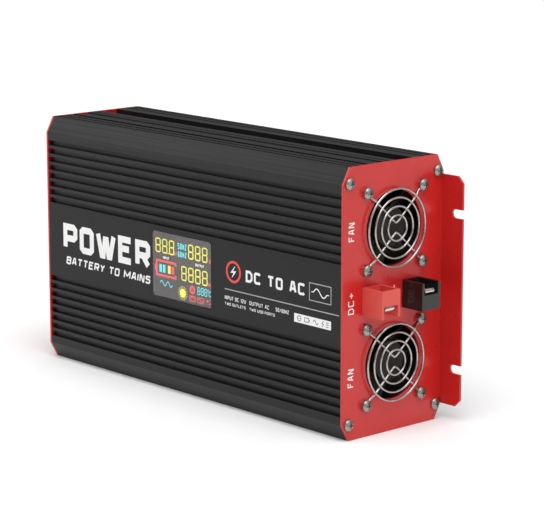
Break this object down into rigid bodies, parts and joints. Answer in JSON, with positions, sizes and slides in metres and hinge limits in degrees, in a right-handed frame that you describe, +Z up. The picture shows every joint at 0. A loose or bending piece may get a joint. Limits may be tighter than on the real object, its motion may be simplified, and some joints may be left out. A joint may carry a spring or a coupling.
{
  "type": "power inverter",
  "caption": "Ribbed extruded power inverter with bent end plates, battery connectors, guarded cooling fans, front display, mains outlets, rocker switch and slotted mounting ears.",
  "frame": {"origin": "middle of the base, on the plane that the case stands on", "axes": "+X along the length towards the battery end with the fans and connectors, -Y towards the display face, +Y towards the mounting plane, +Z up"},
  "size_m": [0.3476, 0.0906, 0.178],
  "materials": {
    "case_black": "satin black anodised extrusion",
    "plate_red": "glossy powder coat",
    "screw_steel": "zinc plated",
    "film_black": "printed satin film",
    "display_glass": "tinted clear window",
    "black_plastic": "moulded",
    "red_plastic": "moulded",
    "fan_plastic": "moulded",
    "guard_wire": "nickel-chrome plated wire",
    "contact_metal": "silver plated copper",
    "brass": "bright",
    "board_green": "solder mask",
    "aluminium": "mill finish",
    "ferrite": "ground ferrite",
    "tape_yellow": "polyester tape",
    "capacitor_sleeve": "shrunk sleeve",
    "copper_wire": "enamelled wire",
    "lead_red": "cable sheath",
    "lead_black": "cable sheath",
    "ribbon_grey": "ribbon cable",
    "lamp_green": "clear lens",
    "white_plastic": "moulded",
    "fuse_orange": "moulded"
  },
  "bodies": {
    "case": {"front_shell": "case_black", "rear_shell": "case_black", "battery_end_plate": "plate_red", "mains_end_plate": "plate_red", "battery_plate_screws": "screw_steel", "mains_plate_screws": "screw_steel", "front_film": "film_black", "display_glass": "display_glass", "display_frame": "black_plastic", "lcd_panel": "display_glass", "display_board": "board_green", "display_screws": "screw_steel", "display_ribbon": "ribbon_grey", "positive_housing": "red_plastic", "negative_housing": "black_plastic", "positive_contact": "contact_metal", "negative_contact": "contact_metal", "positive_lead": "lead_red", "negative_lead": "lead_black", "board_terminals": "brass", "upper_fan_frame": "black_plastic", "lower_fan_frame": "black_plastic", "upper_fan_bearings": "screw_steel", "lower_fan_bearings": "screw_steel", "upper_fan_stator": "copper_wire", "lower_fan_stator": "copper_wire", "upper_fan_guard": "guard_wire", "lower_fan_guard": "guard_wire", "fan_screws": "screw_steel", "fan_nuts": "screw_steel", "upper_outlet_body": "black_plastic", "lower_outlet_body": "black_plastic", "outlet_sleeves": "brass", "outlet_earth_clips": "contact_metal", "outlet_screws": "screw_steel", "switch_housing": "black_plastic", "switch_terminals": "brass", "usb_block": "black_plastic", "usb_a_shell": "contact_metal", "usb_c_shell": "contact_metal", "usb_tongues": "white_plastic", "status_lamp": "lamp_green", "earth_stud": "screw_steel", "earth_nuts": "screw_steel", "main_board": "board_green", "control_board": "board_green", "heat_sink_bars": "aluminium", "power_transistors": "black_plastic", "transformer_cores": "ferrite", "transformer_coils": "tape_yellow", "capacitors": "capacitor_sleeve", "input_fuses": "fuse_orange", "output_choke_core": "ferrite", "output_choke_coil": "copper_wire", "mains_leads": "lead_black"},
    "upper_rotor": {"upper_fan_impeller": "fan_plastic", "upper_fan_shaft": "screw_steel"},
    "lower_rotor": {"lower_fan_impeller": "fan_plastic", "lower_fan_shaft": "screw_steel"},
    "rocker": {"switch_rocker": "red_plastic"}
  },
  "joints": [
    {"name": "upper_fan_spin", "type": "hinge", "parent": "case", "child": "upper_rotor", "pos_m": [0.14, 0, 0.1348], "axis": [1, 0, 0], "continuous": true},
    {"name": "lower_fan_spin", "type": "hinge", "parent": "case", "child": "lower_rotor", "pos_m": [0.14, 0, 0.0462], "axis": [1, 0, 0], "continuous": true},
    {"name": "rocker_tilt", "type": "hinge", "parent": "case", "child": "rocker", "pos_m": [-0.1525, -0.02, 0.04], "axis": [0, 1, 0], "range_deg": [0, 16]}
  ]
}
